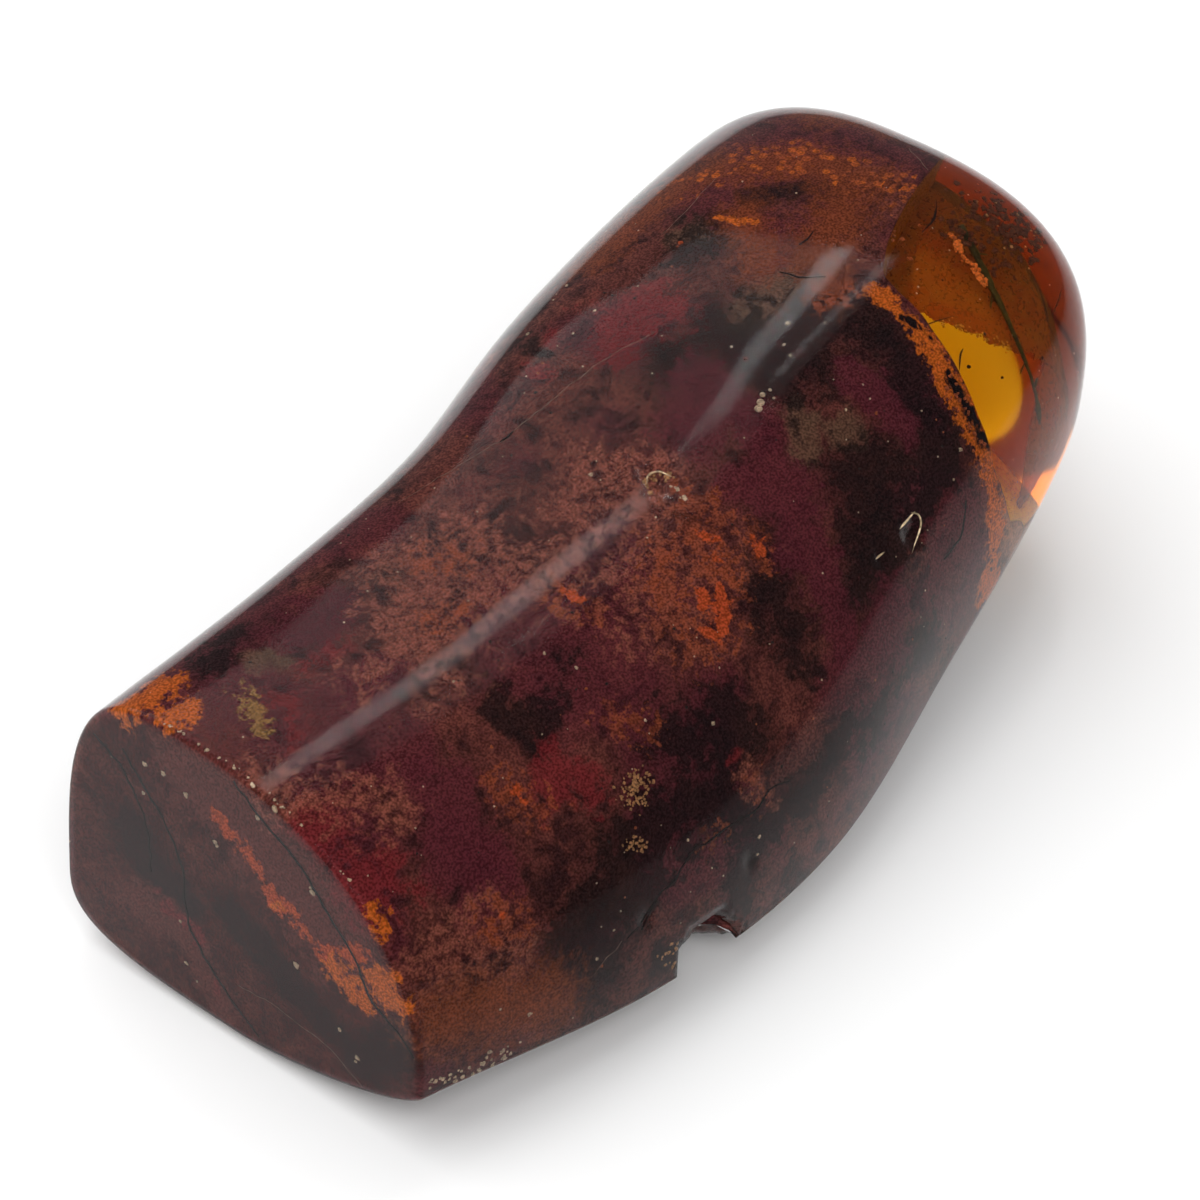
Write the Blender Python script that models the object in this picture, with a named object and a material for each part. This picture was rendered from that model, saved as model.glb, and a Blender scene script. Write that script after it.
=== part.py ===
"""A polished piece of fossil amber with a plant stem sealed in its clear end.

The piece is a rounded, slightly waisted block. Its near end (-X) is cut flat and polished, its
far end (+X) is a softly rounded face, and it rests on a small flat ground on its underside.
The resin is one grown mass. It is parted on one plane near the far end, only so that the
plant stem sealed there has a pocket to lie in.

Design lengths are in millimetres, and become metres when a mesh is made. X runs along the
piece from the cut face, +Y is the waisted back, -Y the bellied front, and Z is height above
the surface that it rests on. The origin is the middle of the piece's footprint.
"""

import math

import bmesh
import bpy
import numpy as np

MM = 0.001

# Driving dimensions of the block
LENGTH = 98.0
FACETS_AROUND = 64
ROWS_ALONG = 38
ROWS_OVER_FAR_END = 10

# Profiles along the block, as (distance from the cut face, value)
BACK = [(0, 16.0), (22, 15.0), (40, 15.2), (56, 18.2), (82, 20.0), (98, 20.5)]
FRONT = [(0, -23.0), (22, -29.6), (44, -31.8), (64, -29.2), (82, -26.7), (98, -22.8)]
TOP = [(0, 29.4), (22, 30.2), (40, 31.8), (62, 36.0), (82, 38.3), (98, 37.2)]
UNDERSIDE = [(0, 0.9), (20, -0.3), (40, -0.5), (62, -0.2), (82, 2.4), (98, 5.5)]
CREST_Y = [(0, 3.5), (98, 0.0)]
KEEL_Y = [(0, -4.0), (98, -4.0)]
BACK_HEIGHT = [(0, 8.5), (98, 18.0)]
FRONT_HEIGHT = [(0, 6.5), (44, 4.5), (98, 23.0)]

# How boxy each quarter of the cross-section is: 2 is an ellipse, more is fuller
FRONT_TOP_POWER = [(0, 2.28), (98, 2.6)]
BACK_TOP_POWER = [(0, 3.0), (98, 2.5)]
BACK_LOW_POWER = [(0, 3.4), (98, 2.3)]
FRONT_LOW_POWER = [(0, 1.45), (98, 2.2)]

# Ends
CUT_EDGE = 0.5
CUT_LEAN = 0.11
CUT_LEAN_HEIGHT = 15.0
FAR_ROUNDING = 12.6
FAR_POWER = 2.9
FAR_ROW_EASE = 1.6
FAR_LEAN = 0.11
FAR_LEAN_HEIGHT = 18.0
FAR_TURN = -0.04

# The parting plane: its distance from the cut face at y = z = 0, and how far it leans
PARTING_X = 82.5
PARTING_LEAN_Y = 0.2
PARTING_LEAN_Z = 0.2
GAP = 0.3

# The plant stem lies in the parting plane, as (y, z) points from its upper end
STEM_ROUTE = [(-12.2, 35.2), (-15.9, 31.2), (-19.5, 27.8), (-22.5, 24.8), (-23.6, 22.3)]
STEM_STEPS = 24
STEM_SIDES = 10
STEM_RADIUS = [(0.0, 0.28), (0.8, 0.28), (0.9, 0.42), (1.0, 0.2)]

# The notch broken out of the belly's lower edge: its middle, and the chip's corners about it
NOTCH_AT = (27.5, -30.0, 6.0)
NOTCH_CORNERS = [
    (-5.5, -2.5, 2.2),
    (-2.6, -3.0, 3.5),
    (2.0, -3.0, 3.4),
    (4.2, -3.0, -0.5),
    (5.5, -1.0, -6.5),
    (-3.2, -2.0, -6.5),
    (-1.8, 1.6, 2.0),
    (1.6, 2.0, 1.6),
    (3.0, 3.4, -6.5),
    (-1.5, 3.2, -6.5),
]

SHARP_ANGLE = 30.0

# Each material's colour as red, green and blue, and its roughness
CLOUDY_AMBER = ((0.075, 0.02, 0.014), 0.2)
CLEAR_AMBER = ((0.62, 0.24, 0.02), 0.12)
STEM_BARK = ((0.035, 0.028, 0.012), 0.7)


def smooth(points, x):
    """The smooth curve through (distance, value) points, read at x."""
    at = np.array([p[0] for p in points], float)
    value = np.array([p[1] for p in points], float)
    slope = np.gradient(value, at)
    x = np.clip(np.asarray(x, float), at[0], at[-1])
    i = np.clip(np.searchsorted(at, x, side="right") - 1, 0, len(at) - 2)
    step = at[i + 1] - at[i]
    t = (x - at[i]) / step
    return (
        value[i] * (1 + 2 * t) * (1 - t) ** 2
        + slope[i] * step * t * (1 - t) ** 2
        + value[i + 1] * t * t * (3 - 2 * t)
        - slope[i + 1] * step * t * t * (1 - t)
    )


def quarter(side, cap, power, turn):
    """A quarter of a section: from the side point at turn 0 to the cap point at a right angle."""
    across = np.cos(turn) ** (2 / power)
    rise = np.sin(turn) ** (2 / power)
    return cap[0] + (side[0] - cap[0]) * across, side[1] + (cap[1] - side[1]) * rise


def section(x):
    """The (y, z) points of the cross-section at x, front side first and over the top."""
    front = (smooth(FRONT, x), smooth(FRONT_HEIGHT, x))
    back = (smooth(BACK, x), smooth(BACK_HEIGHT, x))
    crest = (smooth(CREST_Y, x), smooth(TOP, x))
    keel = (smooth(KEEL_Y, x), smooth(UNDERSIDE, x))
    steps = FACETS_AROUND // 4
    turn = np.arange(steps) / steps * math.pi / 2
    arcs = [
        quarter(front, crest, smooth(FRONT_TOP_POWER, x), turn),
        quarter(back, crest, smooth(BACK_TOP_POWER, x), math.pi / 2 - turn),
        quarter(back, keel, smooth(BACK_LOW_POWER, x), turn),
        quarter(front, keel, smooth(FRONT_LOW_POWER, x), math.pi / 2 - turn),
    ]
    return np.column_stack([np.concatenate([arc[i] for arc in arcs]) for i in (0, 1)])


def lean(points):
    """The cut face leans back and the far face leans and turns, fading towards the middle."""
    x, y, z = points.T
    near = np.clip(1 - x / LENGTH, 0, 1) ** 2
    far = np.clip(x / LENGTH, 0, 1) ** 4
    moved = (
        x
        + near * CUT_LEAN * (z - CUT_LEAN_HEIGHT)
        + far * (FAR_LEAN * (z - FAR_LEAN_HEIGHT) + FAR_TURN * y)
    )
    return np.column_stack([moved, y, z])


def shrunk(ring, share):
    """The ring drawn in towards its middle to a share of its size."""
    middle = ring.mean(axis=0)
    return middle + (ring - middle) * share


def block_rings():
    """Rings of points from the cut face to the tip of the far end."""
    rings = [(0.0, shrunk(section(0.0), 1 - CUT_EDGE / abs(FRONT[0][1])))]
    straight = LENGTH - FAR_ROUNDING
    for x in np.linspace(CUT_EDGE, straight, ROWS_ALONG):
        rings.append((x, section(x)))
    for left in np.linspace(1, 0, ROWS_OVER_FAR_END + 1)[1:-1]:
        turn = math.pi / 2 * (1 - left**FAR_ROW_EASE)
        x = straight + FAR_ROUNDING * math.sin(turn) ** (2 / FAR_POWER)
        rings.append((x, shrunk(section(x), math.cos(turn) ** (2 / FAR_POWER))))
    placed = []
    for x, ring in rings:
        points = lean(np.column_stack([np.full(len(ring), x), ring]))
        points[:, 2] = np.maximum(points[:, 2], 0.0)
        placed.append(points)
    return placed


def footprint_middle():
    """The middle of the block's footprint, which is the part's origin."""
    points = np.concatenate(block_rings())
    middle = (points.min(axis=0) + points.max(axis=0)) / 2
    return np.array([middle[0], middle[1], 0.0])


def in_metres(points):
    """Design points, in millimetres from the cut face, as metres about the origin."""
    return (np.asarray(points, float) - footprint_middle()) * MM


def lofted(rings):
    """A closed bmesh over rings of points, with a flat face on the first and the last ring."""
    bm = bmesh.new()
    loops = [[bm.verts.new(point) for point in in_metres(ring)] for ring in rings]
    around = len(loops[0])
    for near, far in zip(loops, loops[1:]):
        for i in range(around):
            j = (i + 1) % around
            bm.faces.new((near[i], near[j], far[j], far[i]))
    bm.faces.new(loops[0])
    bm.faces.new(loops[-1])
    bmesh.ops.recalc_face_normals(bm, faces=bm.faces)
    return bm


def block_part(side):
    """The block on one side of the parting plane: -1 keeps the body, 1 keeps the clear end."""
    bm = lofted(block_rings())
    normal = np.array([1.0, -PARTING_LEAN_Y, -PARTING_LEAN_Z])
    normal /= np.linalg.norm(normal)
    foot = np.array([PARTING_X, 0.0, 0.0]) + normal * side * GAP / 2
    bmesh.ops.bisect_plane(
        bm,
        geom=bm.verts[:] + bm.edges[:] + bm.faces[:],
        plane_co=in_metres(foot),
        plane_no=normal * side,
        clear_inner=True,
    )
    rim = [edge for edge in bm.edges if edge.is_boundary]
    bmesh.ops.contextual_create(bm, geom=rim)
    bmesh.ops.recalc_face_normals(bm, faces=bm.faces)
    return bm


def stem_tube(spare):
    """The stem as a bent tube in the parting plane, made larger all round by the spare."""
    share = np.linspace(0, 1, len(STEM_ROUTE))
    t = np.linspace(0, 1, STEM_STEPS + 1)
    y = smooth(list(zip(share, [p[0] for p in STEM_ROUTE])), t)
    z = smooth(list(zip(share, [p[1] for p in STEM_ROUTE])), t)
    x = PARTING_X + PARTING_LEAN_Y * y + PARTING_LEAN_Z * z
    route = np.column_stack([x, y, z])
    along = np.gradient(route, axis=0)
    along /= np.linalg.norm(along, axis=1)[:, None]
    route[0] -= along[0] * spare
    route[-1] += along[-1] * spare
    turn = np.arange(STEM_SIDES) / STEM_SIDES * 2 * math.pi
    rings = []
    for place, forward, reach in zip(route, along, smooth(STEM_RADIUS, t) + spare):
        out = np.cross(forward, (1.0, 0.0, 0.0))
        out /= np.linalg.norm(out)
        up = np.cross(forward, out)
        rings.append(place + reach * (np.outer(np.cos(turn), out) + np.outer(np.sin(turn), up)))
    return lofted(rings)


def chip():
    """The rough chip that is missing from the belly's lower edge."""
    bm = bmesh.new()
    for corner in in_metres(np.array(NOTCH_AT) + np.array(NOTCH_CORNERS)):
        bm.verts.new(corner)
    hull = bmesh.ops.convex_hull(bm, input=bm.verts)
    bmesh.ops.delete(bm, geom=hull["geom_interior"], context="VERTS")
    bmesh.ops.recalc_face_normals(bm, faces=bm.faces)
    return bm


def finish(name, look):
    """A material with one colour and roughness."""
    colour, roughness = look
    material = bpy.data.materials.new(name)
    material.use_nodes = True
    shader = material.node_tree.nodes["Principled BSDF"]
    shader.inputs["Base Color"].default_value = (*colour, 1.0)
    shader.inputs["Roughness"].default_value = roughness
    shader.inputs["Metallic"].default_value = 0.0
    return material


def add_object(name, bm, look=None):
    """The bmesh as a named object in the scene, with its material if it has one."""
    mesh = bpy.data.meshes.new(name)
    bm.to_mesh(mesh)
    bm.free()
    mesh.shade_smooth()
    mesh.set_sharp_from_angle(angle=math.radians(SHARP_ANGLE))
    thing = bpy.data.objects.new(name, mesh)
    bpy.context.scene.collection.objects.link(thing)
    if look:
        mesh.materials.append(finish(name, look))
    return thing


def add_cutter(name, bm):
    """A shape that is only cut away from others."""
    cutter = add_object(name, bm)
    cutter.hide_render = True
    cutter.display_type = "WIRE"
    return cutter


def cut(thing, cutter):
    """Take the cutter's shape out of the thing."""
    modifier = thing.modifiers.new(cutter.name, "BOOLEAN")
    modifier.operation = "DIFFERENCE"
    modifier.solver = "EXACT"
    modifier.object = cutter


def main():
    """Build the amber in its two parts, with the stem between them."""
    for thing in list(bpy.data.objects):
        bpy.data.objects.remove(thing, do_unlink=True)
    body = add_object("amber_body", block_part(-1), CLOUDY_AMBER)
    clear_end = add_object("amber_clear_end", block_part(1), CLEAR_AMBER)
    add_object("plant_stem", stem_tube(0.0), STEM_BARK)
    pocket = add_cutter("stem_pocket", stem_tube(GAP))
    cut(body, pocket)
    cut(clear_end, pocket)
    cut(body, add_cutter("missing_chip", chip()))


main()
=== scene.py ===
"""The looks of a polished piece of fossil amber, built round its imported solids.

The outer resin is one clear piece. Close under its skin lies the cloudy resin that fills most
of it, and beyond that, at the far end, the clear honey resin holds a plant stem, flakes and
hairs. Design lengths are in millimetres from the cut face, as in the solids' own drawing.
"""

import math

import bmesh
import bpy
import numpy as np
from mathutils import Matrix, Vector, noise


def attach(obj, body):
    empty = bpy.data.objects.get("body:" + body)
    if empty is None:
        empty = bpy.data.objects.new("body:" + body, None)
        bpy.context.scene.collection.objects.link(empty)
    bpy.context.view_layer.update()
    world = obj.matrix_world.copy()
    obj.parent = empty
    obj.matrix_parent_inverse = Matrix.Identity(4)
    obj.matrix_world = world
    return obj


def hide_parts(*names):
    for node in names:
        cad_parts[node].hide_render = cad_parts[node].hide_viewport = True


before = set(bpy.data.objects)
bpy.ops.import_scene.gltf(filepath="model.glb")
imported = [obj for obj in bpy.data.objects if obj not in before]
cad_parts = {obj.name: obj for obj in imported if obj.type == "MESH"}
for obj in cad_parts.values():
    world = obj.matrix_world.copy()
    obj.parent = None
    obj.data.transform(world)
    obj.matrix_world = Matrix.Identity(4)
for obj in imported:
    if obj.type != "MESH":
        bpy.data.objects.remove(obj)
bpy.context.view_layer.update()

MM = 0.001
BODY = "root"

# Driving dimensions of the block, as the solids have them
LENGTH = 98.0
BACK = [(0, 16.0), (22, 15.0), (40, 15.2), (56, 18.2), (82, 20.0), (98, 20.5)]
FRONT = [(0, -23.0), (22, -29.6), (44, -31.8), (64, -29.2), (82, -26.7), (98, -22.8)]
TOP = [(0, 29.4), (22, 30.2), (40, 31.8), (62, 36.0), (82, 38.3), (98, 37.2)]
UNDERSIDE = [(0, 0.9), (20, -0.3), (40, -0.5), (62, -0.2), (82, 2.4), (98, 5.5)]
CREST_Y = [(0, 3.5), (98, 0.0)]
KEEL_Y = [(0, -4.0), (98, -4.0)]
BACK_HEIGHT = [(0, 8.5), (98, 18.0)]
FRONT_HEIGHT = [(0, 6.5), (44, 4.5), (98, 23.0)]
FRONT_TOP_POWER = [(0, 2.28), (98, 2.6)]
BACK_TOP_POWER = [(0, 3.0), (98, 2.5)]
BACK_LOW_POWER = [(0, 3.4), (98, 2.3)]
FRONT_LOW_POWER = [(0, 1.45), (98, 2.2)]
CUT_EDGE = 0.5
CUT_LEAN = 0.11
CUT_LEAN_HEIGHT = 15.0
FAR_ROUNDING = 12.6
FAR_POWER = 2.9
FAR_ROW_EASE = 1.6
FAR_LEAN = 0.11
FAR_LEAN_HEIGHT = 18.0
FAR_TURN = -0.04
STRAIGHT = LENGTH - FAR_ROUNDING
# The skin's length over the rounded far end, which the s coordinate counts on from STRAIGHT
FAR_SKIN = 18.0

# The chip broken out of the belly's lower edge
NOTCH_AT = (27.5, -30.0, 6.0)
NOTCH_CORNERS = [(-5.5, -2.5, 2.2), (-2.6, -3.0, 3.5), (2.0, -3.0, 3.4), (4.2, -3.0, -0.5),
                 (5.5, -1.0, -6.5), (-3.2, -2.0, -6.5), (-1.8, 1.6, 2.0), (1.6, 2.0, 1.6),
                 (3.0, 3.4, -6.5), (-1.5, 3.2, -6.5)]
NOTCH_REACH = 9.0
# How far its edge wanders, and how rough its broken face is, as (noise size, height)
NOTCH_WANDER = (0.9, 1.1)
NOTCH_ROUGH = [(1.1, 0.55), (0.5, 0.3)]

# How fine the outer piece is
AROUND = 256
ROWS_ALONG = 260
ROWS_OVER_END = 40
ROWS_ON_FACE = 24


def straight(points, x):
    """The broken line through (distance, value) points, read at x."""
    return np.interp(x, [p[0] for p in points], [p[1] for p in points])


def smooth(points, x):
    """The smooth curve through (distance, value) points, read at x."""
    at = np.array([p[0] for p in points], float)
    value = np.array([p[1] for p in points], float)
    slope = np.gradient(value, at)
    x = np.clip(np.asarray(x, float), at[0], at[-1])
    i = np.clip(np.searchsorted(at, x, side="right") - 1, 0, len(at) - 2)
    step = at[i + 1] - at[i]
    t = (x - at[i]) / step
    return (
        value[i] * (1 + 2 * t) * (1 - t) ** 2
        + slope[i] * step * t * (1 - t) ** 2
        + value[i + 1] * t * t * (3 - 2 * t)
        - slope[i + 1] * step * t * t * (1 - t)
    )


def quarter(side, cap, power, turn):
    """A quarter of a section: from the side point at turn 0 to the cap point at a right angle."""
    across = np.cos(turn) ** (2 / power)
    rise = np.sin(turn) ** (2 / power)
    return cap[0] + (side[0] - cap[0]) * across, side[1] + (cap[1] - side[1]) * rise


def section(x, facets):
    """The (y, z) points of the cross-section at x, front side first and over the top."""
    front = (smooth(FRONT, x), smooth(FRONT_HEIGHT, x))
    back = (smooth(BACK, x), smooth(BACK_HEIGHT, x))
    crest = (smooth(CREST_Y, x), smooth(TOP, x))
    keel = (smooth(KEEL_Y, x), smooth(UNDERSIDE, x))
    steps = facets // 4
    turn = np.arange(steps) / steps * math.pi / 2
    arcs = [
        quarter(front, crest, smooth(FRONT_TOP_POWER, x), turn),
        quarter(back, crest, smooth(BACK_TOP_POWER, x), math.pi / 2 - turn),
        quarter(back, keel, smooth(BACK_LOW_POWER, x), turn),
        quarter(front, keel, smooth(FRONT_LOW_POWER, x), math.pi / 2 - turn),
    ]
    return np.column_stack([np.concatenate([arc[i] for arc in arcs]) for i in (0, 1)])


def lean(points):
    """The cut face leans back and the far face leans and turns, fading towards the middle."""
    x, y, z = points.T
    near = np.clip(1 - x / LENGTH, 0, 1) ** 2
    far = np.clip(x / LENGTH, 0, 1) ** 4
    moved = (
        x
        + near * CUT_LEAN * (z - CUT_LEAN_HEIGHT)
        + far * (FAR_LEAN * (z - FAR_LEAN_HEIGHT) + FAR_TURN * y)
    )
    return np.column_stack([moved, y, z])


def ring(s, facets):
    """The skin's ring of points at s: negative over the cut face, past STRAIGHT over the end."""
    if s <= 0:
        share = (1 + s) * (1 - CUT_EDGE / abs(FRONT[0][1]))
        x = 0.0
    elif s <= STRAIGHT:
        share = 1.0
        x = s
        if s < CUT_EDGE:
            share = 1 - (CUT_EDGE - math.sqrt(CUT_EDGE**2 - (CUT_EDGE - s) ** 2)) / abs(FRONT[0][1])
    else:
        turn = (s - STRAIGHT) / FAR_SKIN * math.pi / 2
        x = STRAIGHT + FAR_ROUNDING * math.sin(turn) ** (2 / FAR_POWER)
        share = math.cos(turn) ** (2 / FAR_POWER)
    flat = section(x, facets)
    middle = flat.mean(axis=0)
    flat = middle + (flat - middle) * share
    points = lean(np.column_stack([np.full(len(flat), x), flat]))
    points[:, 2] = np.maximum(points[:, 2], 0.0)
    return points


def skin_rows():
    """The s of every row of the outer piece, from the middle of the cut face to the far tip."""
    face = np.linspace(-0.97, 0, ROWS_ON_FACE)
    edge = np.array([0.04, 0.12, 0.25, 0.38])
    along = np.linspace(CUT_EDGE, STRAIGHT, ROWS_ALONG)
    left = np.linspace(1, 0, ROWS_OVER_END + 1)[1:-1]
    over = STRAIGHT + FAR_SKIN * (1 - left**FAR_ROW_EASE)
    return np.concatenate([face, edge, along, over])


def grid_normals(grid):
    """The outward normals of a grid of rings."""
    along = np.gradient(grid, axis=0)
    around = (np.roll(grid, -1, axis=1) - np.roll(grid, 1, axis=1)) / 2
    normal = np.cross(around, along)
    normal /= np.maximum(np.linalg.norm(normal, axis=2), 1e-9)[:, :, None]
    middle = grid.reshape(-1, 3).mean(axis=0)
    outward = ((grid - middle) * normal).sum(axis=2).mean()
    return normal if outward > 0 else -normal


def notch_planes():
    """The faces of the notch's chip, as (normal, offset) of the outward planes."""
    bm = bmesh.new()
    for corner in np.array(NOTCH_AT) + np.array(NOTCH_CORNERS):
        bm.verts.new(corner)
    hull = bmesh.ops.convex_hull(bm, input=bm.verts)
    bmesh.ops.delete(bm, geom=hull["geom_interior"], context="VERTS")
    bmesh.ops.recalc_face_normals(bm, faces=bm.faces)
    planes = [(np.array(f.normal), np.dot(f.normal, f.verts[0].co)) for f in bm.faces]
    bm.free()
    return planes


def chipped(grid, normals):
    """The grid with the notch broken out of the belly, its broken face left rough."""
    planes = notch_planes()
    out = grid.copy()
    for index in np.ndindex(grid.shape[:2]):
        point = grid[index]
        if np.abs(point - NOTCH_AT).max() > NOTCH_REACH:
            continue
        inside = min(offset - normal @ point for normal, offset in planes)
        inside += NOTCH_WANDER[1] * noise.noise(Vector(point) / NOTCH_WANDER[0])
        if inside <= 0:
            continue
        inward = -normals[index]
        exits = [(offset - normal @ point) / (normal @ inward)
                 for normal, offset in planes if normal @ inward > 1e-6]
        rough = sum(height * noise.noise(Vector(point) / size) for size, height in NOTCH_ROUGH)
        out[index] = point + inward * max(min(exits) + rough * min(inside, 1), 0)
    return out


ROWS = skin_rows()
GRID = np.array([ring(s, AROUND) for s in ROWS])
LOW = GRID.reshape(-1, 3).min(axis=0)
HIGH = GRID.reshape(-1, 3).max(axis=0)
ORIGIN = np.array([(LOW[0] + HIGH[0]) / 2, (LOW[1] + HIGH[1]) / 2, 0.0])


def in_metres(points):
    """Design points, in millimetres from the cut face, as metres in the row frame."""
    return (np.asarray(points, float) - ORIGIN) * MM


GRID = chipped(GRID, grid_normals(GRID))
NORMALS = grid_normals(GRID)


def closed_mesh(name, corners, faces):
    """A mesh from corners in design millimetres, faced outwards and shaded smooth."""
    mesh = bpy.data.meshes.new(name)
    mesh.from_pydata(in_metres(corners).tolist(), [], faces)
    mesh.update()
    bm = bmesh.new()
    bm.from_mesh(mesh)
    bmesh.ops.recalc_face_normals(bm, faces=bm.faces)
    bm.to_mesh(mesh)
    bm.free()
    mesh.shade_smooth()
    return mesh


def lay_field(mesh, name, value):
    """Gives every point of a mesh a value."""
    layer = mesh.attributes.new(name, "FLOAT", "POINT")
    layer.data.foreach_set("value", np.ravel(value))


def grid_mesh(name, grid):
    """A closed mesh over a grid of rings."""
    rows, around = grid.shape[:2]
    i, j = np.meshgrid(np.arange(rows - 1), np.arange(around), indexing="ij")
    k = (j + 1) % around
    corners = (i * around + j, i * around + k, (i + 1) * around + k, (i + 1) * around + j)
    quads = np.stack(corners, axis=-1)
    faces = quads.reshape(-1, 4).tolist()
    faces.append(list(range(around))[::-1])
    faces.append([(rows - 1) * around + n for n in range(around)])
    return closed_mesh(name, grid.reshape(-1, 3), faces)


def add_piece(name, mesh, material):
    """A piece of the object, riding on the body."""
    piece = bpy.data.objects.new(name, mesh)
    bpy.context.scene.collection.objects.link(piece)
    mesh.materials.append(material)
    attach(piece, BODY)
    return piece


# Materials

# Colours of the kinds of resin, as linear RGB
MAROON = (0.052, 0.016, 0.019)
RED_BROWN = (0.19, 0.056, 0.046)
BLUSH = (0.29, 0.092, 0.068)
DULL = (0.056, 0.008, 0.009)
HONEY = (1.0, 0.60, 0.05)
BROWN = (0.21, 0.050, 0.020)
WINE = (0.108, 0.021, 0.033)
BLACK = (0.012, 0.009, 0.011)
RED = (0.19, 0.022, 0.028)
RUST = (0.27, 0.064, 0.032)
ORANGE = (0.56, 0.13, 0.018)
GOLD = (0.30, 0.17, 0.05)
OLIVE = (0.135, 0.073, 0.050)
SLATE = (0.032, 0.008, 0.010)
HAZE = (0.135, 0.032, 0.030)
PINK_BROWN = (0.36, 0.15, 0.075)
EMBER = (0.48, 0.080, 0.026)
CLAY = (0.12, 0.024, 0.020)


class Shading:
    """The node tree of one material, with short calls for its nodes."""

    def __init__(self, name):
        self.material = bpy.data.materials.new(name)
        self.material.use_nodes = True
        self.nodes = self.material.node_tree.nodes
        self.links = self.material.node_tree.links
        self.shader = self.nodes["Principled BSDF"]
        self.output = self.nodes["Material Output"]
        self.place = self.nodes.new("ShaderNodeTexCoord").outputs["Object"]

    def put(self, socket, value):
        """Links a socket to another, or sets its value."""
        if isinstance(value, bpy.types.NodeSocket):
            self.links.new(value, socket)
        elif isinstance(value, tuple) and len(value) == 3 and socket.type == "RGBA":
            socket.default_value = (*value, 1.0)
        else:
            socket.default_value = value

    def noise(self, size, detail=4.0, rough=0.55, twist=0.0):
        """Noise of a given feature size in millimetres, from 0 to 1."""
        node = self.nodes.new("ShaderNodeTexNoise")
        node.inputs["Scale"].default_value = 1.0 / (size * MM)
        node.inputs["Detail"].default_value = detail
        node.inputs["Roughness"].default_value = rough
        node.inputs["Distortion"].default_value = twist
        self.links.new(self.place, node.inputs["Vector"])
        return node.outputs["Fac"]

    def cells(self, size):
        """Distance to the nearest of scattered points, in point spacings, and that point's number."""
        node = self.nodes.new("ShaderNodeTexVoronoi")
        node.inputs["Scale"].default_value = 1.0 / (size * MM)
        node.inputs["Randomness"].default_value = 1.0
        self.links.new(self.place, node.inputs["Vector"])
        apart = self.nodes.new("ShaderNodeSeparateColor")
        self.links.new(node.outputs["Color"], apart.inputs["Color"])
        return node.outputs["Distance"], apart.outputs["Red"]

    def math(self, kind, a, b=0.0):
        """One arithmetic step."""
        node = self.nodes.new("ShaderNodeMath")
        node.operation = kind
        self.put(node.inputs[0], a)
        self.put(node.inputs[1], b)
        return node.outputs[0]

    def step(self, value, low, high):
        """A smooth step from 0 at low to 1 at high."""
        node = self.nodes.new("ShaderNodeMapRange")
        node.interpolation_type = "SMOOTHSTEP"
        self.put(node.inputs["Value"], value)
        if low > high:
            low, high = high, low
            node.inputs["To Min"].default_value = 1.0
            node.inputs["To Max"].default_value = 0.0
        node.inputs["From Min"].default_value = low
        node.inputs["From Max"].default_value = high
        return node.outputs["Result"]

    def blend(self, value, low, high):
        """A value from 0 to 1 spread between two others."""
        return self.math("ADD", self.math("MULTIPLY", value, high - low), low)

    def mix(self, share, a, b, blend="MIX"):
        """Colour a turning into colour b."""
        node = self.nodes.new("ShaderNodeMix")
        node.data_type = "RGBA"
        node.blend_type = blend
        self.put(node.inputs[0], share)
        self.put(node.inputs[6], a)
        self.put(node.inputs[7], b)
        return node.outputs[2]

    def field(self, name):
        """A value that the mesh carries."""
        node = self.nodes.new("ShaderNodeAttribute")
        node.attribute_name = name
        return node.outputs["Fac"]

    def zone(self, name, ragged, soft, grain):
        """Where a kind of resin lies: its marks, with an edge torn by noise."""
        torn = self.math("MULTIPLY", self.math("SUBTRACT", self.step(grain, 0.30, 0.70), 0.5), ragged)
        return self.step(self.math("ADD", self.field(name), torn), -soft, soft)

    def bump(self, height, depth):
        """A fine relief of a given depth in millimetres."""
        node = self.nodes.new("ShaderNodeBump")
        node.inputs["Strength"].default_value = 1.0
        node.inputs["Distance"].default_value = depth * MM
        self.put(node.inputs["Height"], height)
        self.links.new(node.outputs["Normal"], self.shader.inputs["Normal"])


# The clear resin: its plain mirror, roughness, polish waves as (size, height), and what it absorbs
RESIN_MIRROR = (0.04, 0.04, 0.04)
RESIN_IOR = 1.54
RESIN_ROUGHNESS = (0.05, 0.12)
RESIN_WAVES = (0.35, 0.0017)
RESIN_COLOUR = (0.97, 0.82, 0.08, 1.0)
RESIN_DENSITY = 170.0

# The kinds of cloudy resin as (mark, raggedness, softness, largest share, colour): first those
# torn by the coarse noise, then those torn by the fine noise. A share of None varies from place to place.
COARSE_KINDS = [
    ("haze", 0.9, 0.4, 0.85, HAZE),
    ("olive", 0.8, 0.4, 0.8, OLIVE),
    ("black", 1.8, 0.4, 0.85, BLACK),
    ("wine", 1.3, 0.4, 0.8, WINE),
    ("red", 1.7, 0.4, 0.75, RED),
]
FINE_KINDS = [
    ("brown", 0.9, 0.8, 0.85, BROWN),
    ("pink", 0.9, 0.7, 0.9, PINK_BROWN),
    ("rust", 3.2, 0.5, None, RUST),
    ("ember", 1.0, 0.22, 0.85, EMBER),
    ("orange", 1.0, 0.25, 0.85, ORANGE),
    ("gold", 1.6, 0.4, 0.75, GOLD),
]
# How the finest grain darkens and lightens the colours
GRAIN_DARK = (0.62, 0.62, 0.62)
GRAIN_LIGHT = (1.45, 1.40, 1.38)


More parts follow.
